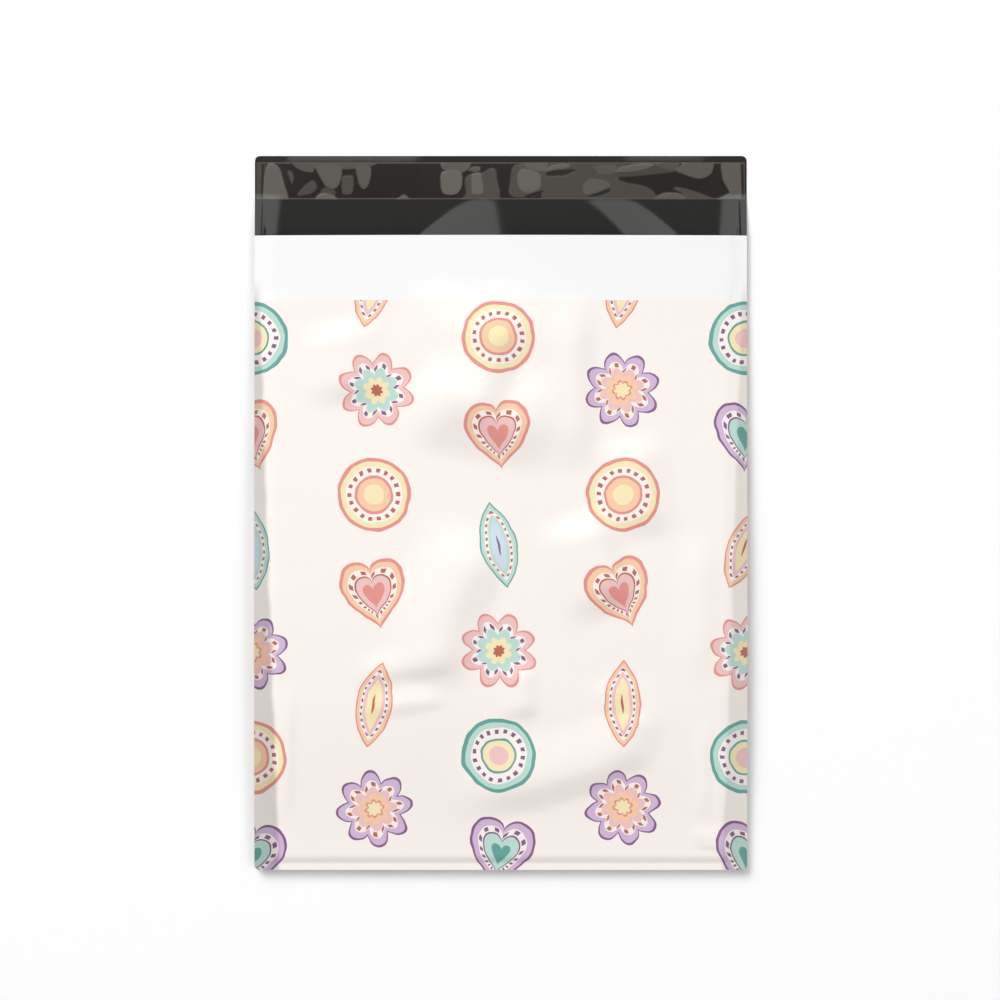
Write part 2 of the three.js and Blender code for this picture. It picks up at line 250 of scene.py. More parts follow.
def box_mm(node):
    """Low and high corner of a solid's box, in millimetres."""
    return [np.array(corner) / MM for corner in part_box(node)]


def ease(t):
    """0 below 0, 1 above 1, and an even S between."""
    t = np.clip(t, 0, 1)
    return t * t * (3 - 2 * t)


def mix(a, b, t):
    """A value part of the way from a to b."""
    return a + (b - a) * t


def shoulder(t):
    """A straight slope that rounds over to a level top."""
    bend = SHOULDER_BEND
    rounded = 1 - (1 + bend - t) ** 2 / (4 * bend)
    return np.where(t < 1 - bend, np.maximum(t, 0), np.where(t < 1 + bend, rounded, 1.0))


def fold_height(x, y, points, fall, rise, height):
    """A long fold. The film falls away across its line, to the left of the line's run, and climbs
    slowly to the crest from the right. The fold dies out at both ends."""
    runs = [math.dist(a, b) for a, b in zip(points, points[1:])]
    nearest = np.full(np.shape(x), np.inf)
    side, along = np.zeros(np.shape(x)), np.zeros(np.shape(x))
    passed = 0.0
    for (ax, ay), (bx, by), run in zip(points, points[1:], runs):
        dx, dy = (bx - ax) / run, (by - ay) / run
        t = np.clip((x - ax) * dx + (y - ay) * dy, 0, run)
        away = np.hypot(x - ax - t * dx, y - ay - t * dy)
        left = np.sign((y - ay) * dx - (x - ax) * dy) * away
        closer = away < nearest
        nearest = np.where(closer, away, nearest)
        side = np.where(closer, left, side)
        along = np.where(closer, (passed + t) / sum(runs), along)
        passed += run
    crest = side + fall / 2
    profile = np.where(crest < 0, ease(1 + crest / rise), ease(1 - crest / fall))
    ends = ease(along / FOLD_END) * ease((1 - along) / FOLD_END)
    return height * profile * ends


def ripple(t, phase):
    """Uneven waves between -1 and 1, from sizes that never fall into step."""
    waves = sum(share * np.sin(t / size + phase * size) for size, share in RIPPLE_WAVES)
    return waves / sum(share for _, share in RIPPLE_WAVES)


class BagForm:
    """Heights of the film over the surface that the bag lies on, all in millimetres."""

    def __init__(self, sizes):
        low, high = box_mm("bag_film")
        self.half_width = high[0]
        self.fold_y = low[1]
        self.flap_end_y = high[1]
        self.mouth_y = low[1] + sizes.body_length / MM
        self.film = sizes.film / MM
        self.weld = sizes.weld_width / MM
        self.corner = sizes.corner_radius / MM
        self.liner_low_y, self.liner_top_y = (corner[1] for corner in box_mm("release_liner"))
        self.shoulders = [
            value / MM for value in (sizes.mouth_shoulder, sizes.belly_shoulder, sizes.fold_shoulder)
        ]
        self.crowns = [value / MM for value in (sizes.mouth_crown, sizes.belly_crown)]

    def from_side(self, x):
        """Distance in from the nearer side."""
        return self.half_width - np.abs(x)

    def shoulder_height(self, y):
        """Height of the front panel where its slopes end, before its middle rises any further."""
        mouth, belly, fold = self.shoulders
        body = mix(mouth, belly, ease((self.mouth_y - y) / BELLY_FROM_MOUTH))
        return mix(fold, body, ease((y - self.fold_y) / BELLY_FROM_FOLD))

    def seam(self, x, y):
        """The welds stand at part of the puffed height and settle down along the flap."""
        settle = 1 - np.clip((y - self.mouth_y) / SEAM_SETTLE, 0, 1)
        droop = WELD_DROOP * (1 - np.minimum(1, self.from_side(x) / self.weld))
        return SEAM_SHARE * self.shoulder_height(y) * settle * (1 - droop)

    def inside(self, x, y, side_run, fold_run):
        """0 at the welds and the fold, 1 over most of the bag."""
        across = shoulder((self.from_side(x) - self.weld) / side_run)
        return across * shoulder((y - self.fold_y - FOLD_FLAT) / fold_run)

    def facets(self, x, y):
        """Creased facets of the flap, which tip towards its free edge and fade into the pocket."""
        reach = self.liner_low_y - self.mouth_y
        up = np.clip((y - self.mouth_y) / reach, 0, 1)
        fade = ease((y - self.mouth_y + FACET_FADE) / FACET_FADE)
        height = np.zeros(np.shape(x))
        for (left_mouth, left_top), (right_mouth, right_top) in FLAP_FACETS:
            past_left = ease((x - mix(left_mouth, left_top, up)) / FACET_SOFT)
            before_right = ease((mix(right_mouth, right_top, up) - x) / FACET_SOFT)
            height += past_left * before_right * (1 - up)
        return FACET_RISE * height * fade

    def hem(self, x, y):
        """Flat stretches of the hem, which tip towards the flap's free edge."""
        climb = np.clip((y - self.liner_low_y) / (self.liner_top_y - self.liner_low_y), 0, 1)
        drop = np.clip((self.flap_end_y - y) / (self.flap_end_y - self.liner_top_y), 0, 1)
        height = sum(
            ease((x - left) / HEM_SOFT) * ease((right - x) / HEM_SOFT) for left, right in HEM_FACETS
        )
        return HEM_RISE * height * climb * drop

    def weld_step(self, x, y):
        """The pressed welds lie lower than the film beside them, which draws a line along the flap."""
        past = self.from_side(x) - self.weld
        rise = ease(0.5 + past / WELD_STEP_RUN / 2) * (1 - np.clip(past / WELD_STEP_FADE, 0, 1))
        bare = ease(y - self.mouth_y) * ease(self.liner_low_y - y)
        return WELD_STEP * rise * bare

    def back(self, x, y):
        """Outer face of the back panel and the flap."""
        across = np.clip((self.from_side(x) - self.weld) / BACK_RUN, 0, 1)
        inside = across * shoulder((y - self.fold_y - FOLD_FLAT) / BACK_RUN)
        creases = self.facets(x, y) + self.hem(x, y) + self.weld_step(x, y)
        return self.seam(x, y) * (1 - inside) + creases

    def front(self, x, y):
        """Outer face of the front panel."""
        run = mix(FOLD_SIDE_RUN, MOUTH_SIDE_RUN, (y - self.fold_y) / (self.mouth_y - self.fold_y))
        inside = self.inside(x, y, run, FOLD_RUN)
        seam = self.seam(x, y)
        arch = np.cos(math.pi / 2 * np.minimum(1, np.abs(x) / (self.half_width - self.weld)))
        crown = arch * mix(*self.crowns, ease((self.mouth_y - y) / BELLY_FROM_MOUTH))
        crown = crown * ease((y - self.fold_y) / BELLY_FROM_FOLD)
        puff = self.shoulder_height(y) - seam + crown
        puff = puff + sum(fold_height(x, y, *fold) for fold in FOLDS) + self.puckers(x, y)
        return seam + 2 * self.film + puff * inside

    def puckers(self, x, y):
        """Short waves that the welds draw into the film beside them."""
        depth = np.maximum(0, self.from_side(x) - self.weld)
        fade = np.exp(-depth / PUCKER_REACH)
        return PUCKER_RISE * ripple(y, np.sign(x) + PUCKER_PHASE) * fade

    def drawn(self, x, y):
        """Share of painted shade drawn on the film: most over the welds and their slopes, and 0 over
        the loose panel. It is lighter on the right side."""
        along = (y - self.fold_y) / (self.mouth_y - self.fold_y)
        reach = mix(SIDE_SHADE_FOLD, SIDE_SHADE_MOUTH, along)
        reach = reach + SIDE_SHADE_WAVE * ripple(y, np.sign(x) + SIDE_SHADE_PHASE)
        sides = ease(0.5 - (self.from_side(x) - reach) / SIDE_SHADE_SOFT)
        below_mouth = 1 - ease((y - self.mouth_y + SIDE_SHADE_STOP) / SIDE_SHADE_STOP_RUN)
        return sides * below_mouth * mix(1, SIDE_SHADE_RIGHT, x > 0)

    def rounded(self, x, y):
        """The outline's corners drawn in to their radius."""
        radius = self.corner
        dx = np.sign(x) * np.maximum(0, np.abs(x) - (self.half_width - radius))
        dy = np.maximum(0, y - (self.flap_end_y - radius)) + np.minimum(0, y - (self.fold_y + radius))
        far = np.hypot(dx, dy)
        pull = np.where(far > 0, np.maximum(np.abs(dx), np.abs(dy)) / np.maximum(far, TINY), 1.0)
        pull = np.where((dx != 0) & (dy != 0), pull, 1.0)
        return x - dx * (1 - pull), y - dy * (1 - pull)


# Mesh of the web of film: the pitch of its lines, close near the sides and the fold, in millimetres

SIDE_FINE = 1.1
SIDE_REACH = 18.0
FOLD_FINE = 0.9
FOLD_REACH = 12.0
PANEL_PITCH = 2.2
FLAP_PITCH = 1.3
POCKET_MARGIN = 0.7  # the pocket starts this far in from the welds
RIM = 0.3  # width that the film's cut edges take on the flat web
SHARP_ANGLE = math.radians(50)

# The film's faces, each with its layer and whether it faces up
OUTSIDE, INSIDE = 0, 1
FACES = (
    ("front", OUTSIDE, True),
    ("back", OUTSIDE, False),
    ("flap", INSIDE, True),
    ("pocket", INSIDE, True),
    ("lining", INSIDE, False),
)

# How far past the printed side of the flat web each inner face starts
INNER_STARTS = {"flap": 10.0, "pocket": 60.0, "lining": 460.0}

# Where each face of the web lies on the bake map, in millimetres, and its scale there
BAKE_SIDE = 545.0
BAKE_REGIONS = {
    "front": ((136.0, 4.0), 1.0),
    "back": ((408.0, 4.0), 1.0),
    "flap": ((136.0, 390.0), 1.0),
    "pocket": ((300.0, 390.0), 0.25),
    "lining": ((380.0, 390.0), 0.25),
}


def lines(start, end, pitch):
    """Evenly spaced lines after start and up to end."""
    return np.linspace(start, end, math.ceil((end - start) / pitch) + 1)[1:]


def web_lines(form):
    """Lines across and along the web, close together where it bends, and where the pocket starts."""
    weld, edge = form.weld, form.weld + POCKET_MARGIN
    half = np.concatenate([
        [0, weld / 3, weld * 2 / 3, weld - WELD_STEP_RUN, weld, weld + WELD_STEP_RUN, edge],
        lines(edge, SIDE_REACH, SIDE_FINE),
        lines(SIDE_REACH, form.half_width, PANEL_PITCH),
    ]) - form.half_width
    across = np.concatenate([half, -half[-2::-1]])
    body = form.fold_y + np.concatenate([
        [0],
        lines(0, FOLD_FLAT, FOLD_FINE),
        lines(FOLD_FLAT, FOLD_REACH, FOLD_FINE),
        lines(FOLD_REACH, form.mouth_y - form.fold_y, PANEL_PITCH),
    ])
    flap = lines(form.mouth_y, form.flap_end_y, FLAP_PITCH)
    pocket_column = int(np.searchsorted(half, edge - form.half_width - TINY))
    pocket_row = int(np.searchsorted(body, form.fold_y + FOLD_FLAT - TINY))
    return across, body, flap, pocket_column, pocket_row


class Web:
    """Gathers the film's points and faces, each corner's place on the flat web and on the bake map,
    and the share of painted side shade at each point. starts gives the place of each face's origin on
    the flat web."""

    def __init__(self):
        self.points, self.drawn = [], []
        self.faces, self.flat, self.baked, self.layers = [], [], [], []
        self.starts = {}
        self.count = 0

    def sheet(self, form, xs, ys, height, drawn):
        """Adds a grid of points at a height over the surface, and gives their numbers."""
        x, y = np.meshgrid(xs, ys)
        px, py = form.rounded(x, y)
        self.points.append(np.stack([px, py, height(x, y)], -1).reshape(-1, 3))
        self.drawn.append(drawn(x, y).ravel())
        numbers = np.arange(x.size).reshape(x.shape) + self.count
        self.count += x.size
        return numbers

    def place(self, numbers):
        """Positions of numbered points."""
        return np.concatenate(self.points)[numbers]

    def add_faces(self, corners, places, region, layer):
        """Adds faces by their corners. places gives each corner's place on its part of the web."""
        corner, scale = BAKE_REGIONS[region]
        start = self.starts[region]
        for face, flat in zip(corners.tolist(), places):
            self.faces.append(face)
            self.flat.append(flat + start)
            self.baked.append(flat * scale + corner)
            self.layers.append(layer)

    def skin(self, grid, places, region, layer, up):
        """Faces over a grid of points, which face up or down."""
        order = [(slice(None, -1), slice(None, -1)), (slice(None, -1), slice(1, None)),
                 (slice(1, None), slice(1, None)), (slice(1, None), slice(None, -1))]
        if not up:
            order[1], order[3] = order[3], order[1]
        corners = np.stack([grid[o] for o in order], -1).reshape(-1, 4)
        flat = np.stack([places[o] for o in order], -2).reshape(-1, 4, 2)
        self.add_faces(corners, flat, region, layer)

    def rim(self, high, low, places, outward, region, layer):
        """Faces between two rows of points. places are the high row's, and the low one lies beyond."""
        beyond = places + np.array(outward) * RIM
        corners = np.stack([high[:-1], high[1:], low[1:], low[:-1]], -1)
        flat = np.stack([places[:-1], places[1:], beyond[1:], beyond[:-1]], -2)
        self.add_faces(corners, flat, region, layer)


def flat_places(points):
    """Where a curved grid of points lies when its film is flat: across from its middle, and along."""
    across = np.hypot(np.diff(points[..., 0], axis=1), np.diff(points[..., 2], axis=1))
    across = np.pad(np.cumsum(across, 1), ((0, 0), (1, 0)))
    across -= across[:, across.shape[1] // 2][:, None]
    along = np.hypot(np.diff(points[..., 1], axis=0), np.diff(points[..., 2], axis=0))
    along = np.pad(np.cumsum(along, 0), ((1, 0), (0, 0)))
    return np.stack([across, along], -1)


def film_web(form):
    """The web as one closed skin: front panel, back panel with its flap, and the pocket between.
    Gives the web and the flat size of its film, in millimetres."""
    across, body, flap, pocket_column, pocket_row = web_lines(form)
    inner = slice(pocket_column, len(across) - pocket_column)
    web = Web()

    def lining(height, side):
        return lambda x, y: height(x, y) + side * form.film

    # The inner faces carry no painted side shade
    def no_side_shade(x, y):
        return np.zeros(np.shape(x))

    grids = {
        "front": web.sheet(form, across, body, form.front, form.drawn),
        "back": web.sheet(form, across, np.concatenate([body, flap]), form.back, form.drawn),
        "flap": web.sheet(form, across, np.append(body[-1], flap), lining(form.back, 1), no_side_shade),
    }
    floor = web.sheet(form, across[inner], body[pocket_row:-1], lining(form.back, 1), no_side_shade)
    floor = np.vstack([floor, grids["flap"][:1, inner]])
    roof = web.sheet(form, across[inner], body[pocket_row:], lining(form.front, -1), no_side_shade)
    for edge in (np.s_[:, 0], np.s_[:, -1], np.s_[0]):
        roof[edge] = floor[edge]
    grids["pocket"], grids["lining"] = floor, roof

    flats = {region: flat_places(web.place(grid)) for region, grid in grids.items()}
    flats["front"][..., 1] = flats["front"][-1, :, 1] - flats["front"][..., 1]
    flats["back"] = flats["back"] * (-1, 1)
    panel = flats["front"][..., 1].max()
    around = panel + flats["back"][..., 1].max()
    web.starts = {"front": (0, 0), "back": (0, panel)}
    for region, past in INNER_STARTS.items():
        web.starts[region] = (0, around + past)

    for region, layer, up in FACES:
        web.skin(grids[region], flats[region], region, layer, up)
    close_rims(web, grids, flats, pocket_column)
    return web, (np.ptp(flats["front"][..., 0], axis=1).max(), around)


def close_rims(web, grids, flats, pocket_column):
    """Joins the film's outer and inner faces along the mouth, the bottom fold, the end of the flap
    and both sides."""
    front, back, flap = grids["front"], grids["back"], grids["flap"]
    front_flat, flap_flat = flats["front"], flats["flap"]
    columns, mouth = front.shape[1], len(front) - 1
    inner = slice(pocket_column, columns - pocket_column)
    lip = front_flat[mouth]
    web.rim(front[mouth, inner], grids["lining"][-1], lip[inner], (0, -1), "front", OUTSIDE)
    for end in (slice(0, pocket_column + 1), slice(columns - pocket_column - 1, columns)):
        web.rim(front[mouth, end], flap[0, end], lip[end], (0, -1), "front", OUTSIDE)
    web.rim(front[0, ::-1], back[0, ::-1], front_flat[0, ::-1], (0, 1), "front", OUTSIDE)
    web.rim(flap[-1], back[-1], flap_flat[-1], (0, 1), "flap", INSIDE)
    for column, way in ((0, 1), (-1, -1)):
        high, low = front[:mouth, column][::way], back[:mouth, column][::way]
        web.rim(high, low, front_flat[:mouth, column][::way], (-way, 0), "front", OUTSIDE)
        high, low = flap[:, column][::way], back[mouth:, column][::way]
        web.rim(high, low, flap_flat[:, column][::way], (-way, 0), "flap", INSIDE)
        corner = [back[mouth - 1, column], front[mouth - 1, column], front[mouth, column],
                  flap[0, column], back[mouth, column]]
        below, above = front_flat[mouth - 1, column], front_flat[mouth, column]
        out = np.array((-way, 0)) * RIM
        places = np.array([below + out, below, above, above + out / 2, above + out])
        web.add_faces(np.array([corner[::way]]), [places[::way]], "front", OUTSIDE)


def web_mesh(name, web):
    """A Blender mesh in metres, without points that no face uses."""
    points, drawn = np.concatenate(web.points), np.concatenate(web.drawn)
    used = np.zeros(len(points), bool)
    used[np.concatenate(web.faces)] = True
    renumbered = np.cumsum(used) - 1
    mesh = bpy.data.meshes.new(name)
    mesh.from_pydata(points[used] * MM, [], [renumbered[face].tolist() for face in web.faces])
    mesh.polygons.foreach_set("material_index", np.array(web.layers, np.int32))
    for key, places, unit in (("web", web.flat, MM), ("OFBake", web.baked, 1 / BAKE_SIDE)):
        layer = mesh.uv_layers.new(name=key)
        layer.uv.foreach_set("vector", (np.concatenate(places) * unit).astype(np.float32).ravel())
    # Share of painted shade over the welds and side slopes, for the printed film's colour
    attribute = mesh.attributes.new("drawn", "FLOAT", "POINT")
    attribute.data.foreach_set("value", drawn[used].astype(np.float32))
    mesh.shade_smooth()
    mesh.set_sharp_from_angle(angle=SHARP_ANGLE)
    return mesh


# Materials

def add(tree, kind, inputs=(), output=0, stops=(), **settings):
    """Adds a node, sets or links its inputs by number or name, and gives one of its outputs."""
    node = tree.nodes.new(kind)
    for name, value in settings.items():
        setattr(node, name, value)
    for key, value in inputs.items() if isinstance(inputs, dict) else enumerate(inputs):
        if isinstance(value, bpy.types.NodeSocket):
            tree.links.new(value, node.inputs[key])
        else:
            node.inputs[key].default_value = value
    for index, (place, shade) in enumerate(stops):
        ramp = node.color_ramp
        ramp.interpolation = "CONSTANT"
        stop = ramp.elements[index] if index < 2 else ramp.elements.new(place)
        stop.position, stop.color = place, shade
    return node.outputs[output] if node.outputs else node


def maths(tree, operation, *values):
    """A sum or another operation on plain values."""
    return add(tree, "ShaderNodeMath", values, operation=operation)


def vectors(tree, operation, *values, output=0):
    """The same on vectors."""
    return add(tree, "ShaderNodeVectorMath", values, output, operation=operation)


# Inputs A and B of a mix node, and its result
MIX_SOCKETS = {"FLOAT": (2, 3, 0), "RGBA": (6, 7, 2)}


def blend(tree, factor, first, second, kind="RGBA", way="MIX"):
    """A colour, or a plain value, between two."""
    a, b, result = MIX_SOCKETS[kind]
    return add(tree, "ShaderNodeMix", {0: factor, a: first, b: second}, result, data_type=kind,
               blend_type=way)


def grain(tree, place, size, strength, depth_mm, detail=2.0):
    """A bump from soft noise. Its size is in the units of place."""
    noise = add(tree, "ShaderNodeTexNoise", {"Vector": place, "Scale": 1 / size, "Detail": detail})
    return add(tree, "ShaderNodeBump", {
        "Strength": strength, "Distance": depth_mm * MM, "Height": noise,
    })


def new_material(name):
    """An empty material and its node tree."""
    material = bpy.data.materials.new(name)
    material.use_nodes = True
    material.node_tree.nodes.clear()
    return material, material.node_tree


# Printed motifs: nested bands of ink from the middle out, in two colourways. The gap of bare
# ground in each carries a ring of short strokes.
DAISY, SUN, HEART, LEAF = range(4)
MOTIF_BANDS = {
    DAISY: (
        ((0, "butter"), (0.2, "coral"), (0.26, "peach"), (0.42, "pink"), (0.58, "ground"),
         (0.75, "lilac"), (0.93, "plum")),
        ((0, "terracotta"), (0.16, "butter"), (0.36, "mint"), (0.58, "ground"), (0.75, "pink"),
         (0.93, "coral")),
    ),
    SUN: (
        ((0, "butter"), (0.28, "peach"), (0.45, "coral"), (0.52, "ground"), (0.76, "butter"),
         (0.9, "coral")),
        ((0, "pink"), (0.26, "butter"), (0.42, "teal"), (0.48, "ground"), (0.76, "mint"),
         (0.9, "teal")),
    ),
    HEART: (
        ((0, "coral"), (0.32, "pink"), (0.52, "terracotta"), (0.57, "ground"), (0.75, "peach"),
         (0.9, "coral")),
        ((0, "teal"), (0.28, "mint"), (0.52, "plum"), (0.57, "ground"), (0.75, "lilac"),
         (0.92, "plum")),
    ),
    LEAF: (
        ((0, "plum"), (0.07, "blue"), (0.4, "mint"), (0.57, "ground"), (0.75, "mint"),
         (0.92, "teal")),
        ((0, "terracotta"), (0.07, "butter"), (0.4, "pink"), (0.57, "ground"), (0.75, "peach"),
         (0.92, "coral")),
    ),
}
STROKES = ("terracotta", "plum")
STROKE_RING = 0.66
STROKE_HALF = 0.055
STROKE_COUNT = 18  # round a motif
STROKE_PITCH = 1.9  # along a leaf, in radians for each millimetre
STROKE_LEVEL = 0.15  # ink lies where the wave of strokes stands above this

# Forms of the motifs: lengths in millimetres, and their tilt in radians
PETALS = 8
PETAL_ROOT, PETAL_RISE = 14.0, 6.0
SUN_RADIUS = 19.0
HEART_RADIUS, HEART_DIP, HEART_STRETCH = 17.0, 2.68, 1.1
LEAF_HALF, LEAF_ARC = 9.5, 22.0
MOTIF_TILT = 0.8
WOBBLE = 2.2
WOBBLE_SIZE = 9.0


def motif_cells(tree, place, sizes):
    """Splits the web into staggered cells. Gives each cell's number, a random value, and the place
    inside it in millimetres, turned a little at random."""
    pitch = (sizes.motif_across / MM, sizes.motif_along / MM, 1)
    upright = (pitch[0], -pitch[1], 1)
    noise = add(tree, "ShaderNodeTexNoise", {"Vector": place, "Scale": 1 / WOBBLE_SIZE, "Detail": 1.0},
                "Color")
    hand = vectors(tree, "MULTIPLY_ADD", noise, (WOBBLE,) * 3, place)
    cells = vectors(tree, "DIVIDE", hand, pitch)
    across, along, _ = add(tree, "ShaderNodeSeparateXYZ", [cells]).node.outputs
    column = maths(tree, "ROUND", across)
    odd = maths(tree, "FLOORED_MODULO", column, 2.0)
    dropped = maths(tree, "MULTIPLY_ADD", odd, 0.5, along)
    row = maths(tree, "ROUND", dropped)
    number = maths(tree, "MULTIPLY_ADD", column, 2.0, row)
    cell = add(tree, "ShaderNodeCombineXYZ", [column, row])
    chance = add(tree, "ShaderNodeTexWhiteNoise", {"Vector": cell}, noise_dimensions="3D")
    staggered = add(tree, "ShaderNodeCombineXYZ", [across, dropped])
    offset = vectors(tree, "SUBTRACT", staggered, cell)
    local = vectors(tree, "MULTIPLY", offset, upright)
    tilt = maths(tree, "MULTIPLY_ADD", chance, MOTIF_TILT, -MOTIF_TILT / 2)
    turned = add(tree, "ShaderNodeVectorRotate", {"Vector": local, "Angle": tilt},
                 rotation_type="Z_AXIS")
    return number, chance, turned


def motif_fields(tree, local):
    """For each motif, a value that is 0 in its middle and 1 on its outline. Also the angle round
    the middle and the place along the motif."""
    x, y, _ = add(tree, "ShaderNodeSeparateXYZ", [local]).node.outputs
    radius = vectors(tree, "LENGTH", local, output="Value")
    angle = maths(tree, "ARCTAN2", y, x)
    sideways = maths(tree, "ABSOLUTE", x)

    swing = maths(tree, "MULTIPLY", angle, PETALS / 2)
    wave = maths(tree, "COSINE", swing)
    lobes = maths(tree, "ABSOLUTE", wave)
    petal = maths(tree, "MULTIPLY_ADD", lobes, PETAL_RISE, PETAL_ROOT)
    daisy = maths(tree, "DIVIDE", radius, petal)

    sun = maths(tree, "DIVIDE", radius, SUN_RADIUS)

    root = maths(tree, "SQRT", sideways)
    dip = maths(tree, "MULTIPLY", root, -HEART_DIP)
    stretched = maths(tree, "MULTIPLY_ADD", y, HEART_STRETCH, dip)
    folded = add(tree, "ShaderNodeCombineXYZ", [x, stretched])
    far = vectors(tree, "LENGTH", folded, output="Value")
    heart = maths(tree, "DIVIDE", far, HEART_RADIUS)

    moved = maths(tree, "ADD", sideways, LEAF_ARC)
    bow = add(tree, "ShaderNodeCombineXYZ", [moved, y])
    reach = vectors(tree, "LENGTH", bow, output="Value")
    leaf = maths(tree, "MULTIPLY_ADD", reach, 1 / LEAF_HALF, -LEAF_ARC / LEAF_HALF)
    return {DAISY: daisy, SUN: sun, HEART: heart, LEAF: leaf}, angle, y


def print_colour(tree, place, sizes, colours):
    """Colour of the printed web: a cream flood with loose rows of small motifs, each a few nested
    bands of pastel ink and a ring of strokes, with the slight wobble of a hand-drawn line."""
    number, chance, local = motif_cells(tree, place, sizes)
    fields, angle, along = motif_fields(tree, local)
    kind = maths(tree, "FLOORED_MODULO", number, len(fields))
    second = maths(tree, "GREATER_THAN", chance, 0.5)
    chosen = {motif: maths(tree, "COMPARE", kind, motif, 0.5) for motif in fields}
    depth = fields[DAISY]
    for motif in (SUN, HEART, LEAF):
        depth = blend(tree, chosen[motif], depth, fields[motif], "FLOAT")
    ink = colours.ground
    for motif, ways in MOTIF_BANDS.items():
        bands = [
            add(tree, "ShaderNodeValToRGB", [depth],
                stops=[(start, getattr(colours, name)) for start, name in way])
            for way in ways
        ]
        ink = blend(tree, chosen[motif], ink, blend(tree, second, *bands))
    round_it = maths(tree, "MULTIPLY", angle, STROKE_COUNT)
    along_it = maths(tree, "MULTIPLY", along, STROKE_PITCH)
    turn = blend(tree, chosen[LEAF], round_it, along_it, "FLOAT")
    beat = maths(tree, "SINE", turn)
    stroke = maths(tree, "GREATER_THAN", beat, STROKE_LEVEL)
    ring = maths(tree, "COMPARE", depth, STROKE_RING, STROKE_HALF)
    dash = maths(tree, "MULTIPLY", stroke, ring)
    line = blend(tree, second, *(getattr(colours, name) for name in STROKES))
    inked = blend(tree, dash, ink, line)
    within = maths(tree, "LESS_THAN", depth, 1.0)
    return blend(tree, within, colours.ground, inked)


# Size of the grain on each surface, in millimetres
PRINT_PEEL = 5.0
BLACK_PEEL = 4.0
GLUE_STREAK = 1.5
GLUE_DRAW = 0.05  # the noise changes this much slower along the strip, which draws it out


def printed_film(sizes, colours):
    """Blown polyethylene film, flood printed: smooth, with a satin sheen and a faint orange peel. Over
    the welds and the side slopes a grey is multiplied in as painted shade."""
    material, tree = new_material("printed polyethylene film, satin")
    web = add(tree, "ShaderNodeUVMap", uv_map="web")
    place = vectors(tree, "MULTIPLY", web, (1 / MM, 1 / MM, 0))
    along = add(tree, "ShaderNodeSeparateXYZ", [place], 1)
    band = maths(tree, "LESS_THAN", along, sizes.blank_band / MM)
    ink = print_colour(tree, place, sizes, colours)
    face = blend(tree, band, ink, colours.blank)
    # Painted shade: grey multiplied into the colour over the welds and side slopes
    drawn = add(tree, "ShaderNodeAttribute", output="Fac", attribute_name="drawn")
    shaded = blend(tree, drawn, face, colours.painted_side_shade, way="MULTIPLY")
    peel = grain(tree, place, PRINT_PEEL, strength=0.05, depth_mm=0.4)
    shader = add(tree, "ShaderNodeBsdfPrincipled", {
        "Base Color": shaded, "Roughness": 0.42, "IOR": 1.51, "Normal": peel,
    })
    add(tree, "ShaderNodeOutputMaterial", [shader])
    return material


def black_film(colours):
    """The carbon-black layer inside the film: dark, glossy enough to mirror the lamps softly."""
    material, tree = new_material("carbon black polyethylene film, gloss")
    place = add(tree, "ShaderNodeTexCoord", output="Object")
    peel = grain(tree, place, BLACK_PEEL * MM, strength=0.04, depth_mm=0.3)
    shader = add(tree, "ShaderNodeBsdfPrincipled", {
        "Base Color": colours.inside, "Roughness": 0.1, "IOR": 1.51, "Normal": peel,
    })
    add(tree, "ShaderNodeOutputMaterial", [shader])
    return material


def hot_melt(colours):
    """Hot-melt glue, extruded as a flat bead: amber brown over black film, wet looking."""
    material, tree = new_material("hot melt glue, extruded")
    place = add(tree, "ShaderNodeTexCoord", output="Object")
    drawn = add(tree, "ShaderNodeMapping", {"Vector": place, "Scale": (GLUE_DRAW, 1, 1)})
    streaks = grain(tree, drawn, GLUE_STREAK * MM, strength=0.3, depth_mm=0.05, detail=3.0)
    shader = add(tree, "ShaderNodeBsdfPrincipled", {
        "Base Color": colours.glue, "Roughness": 0.3, "IOR": 1.48, "Normal": streaks,
    })
    add(tree, "ShaderNodeOutputMaterial", [shader])
    return material


def liner_film(colours):
    """Silicone-coated liner as it looks over black film: dark where it wets the glue, and hazy where
    air has got under it."""
    material, tree = new_material("silicone coated liner film, gloss")
    lifted = add(tree, "ShaderNodeAttribute", output="Fac", attribute_name="lifted")
    tone = blend(tree, lifted, colours.liner_down, colours.liner_up)
    shader = add(tree, "ShaderNodeBsdfPrincipled", {
        "Base Color": tone, "Roughness": 0.14, "IOR": 1.55,
    })
    add(tree, "ShaderNodeOutputMaterial", [shader])
    return material


# Pieces

def finish_piece(mesh, name, node):
    """Puts a finished mesh in the scene, in place of its solid."""
    piece = bpy.data.objects.new(name, mesh)
    bpy.context.scene.collection.objects.link(piece)
    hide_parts(node)
    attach(piece, "root")
    return piece


class MAILER_OT_printed_bag(bpy.types.Operator):
    """Build the folded and welded web of printed film"""

    bl_idname = "mailer.printed_bag"
    bl_label = "Printed Bag"

    def execute(self, context):
        sizes, colours = context.scene.mailer_sizes, context.scene.mailer_colours
        form = BagForm(sizes)
        web, flat_size = film_web(form)
        mesh = web_mesh("printed_bag", web)
        mesh.materials.append(printed_film(sizes, colours))
        mesh.materials.append(black_film(colours))
        piece = finish_piece(mesh, "printed_bag", "bag_film")
        return {"FINISHED"}


RAY_START = 50 * MM  # the rays that find the film start this far above it


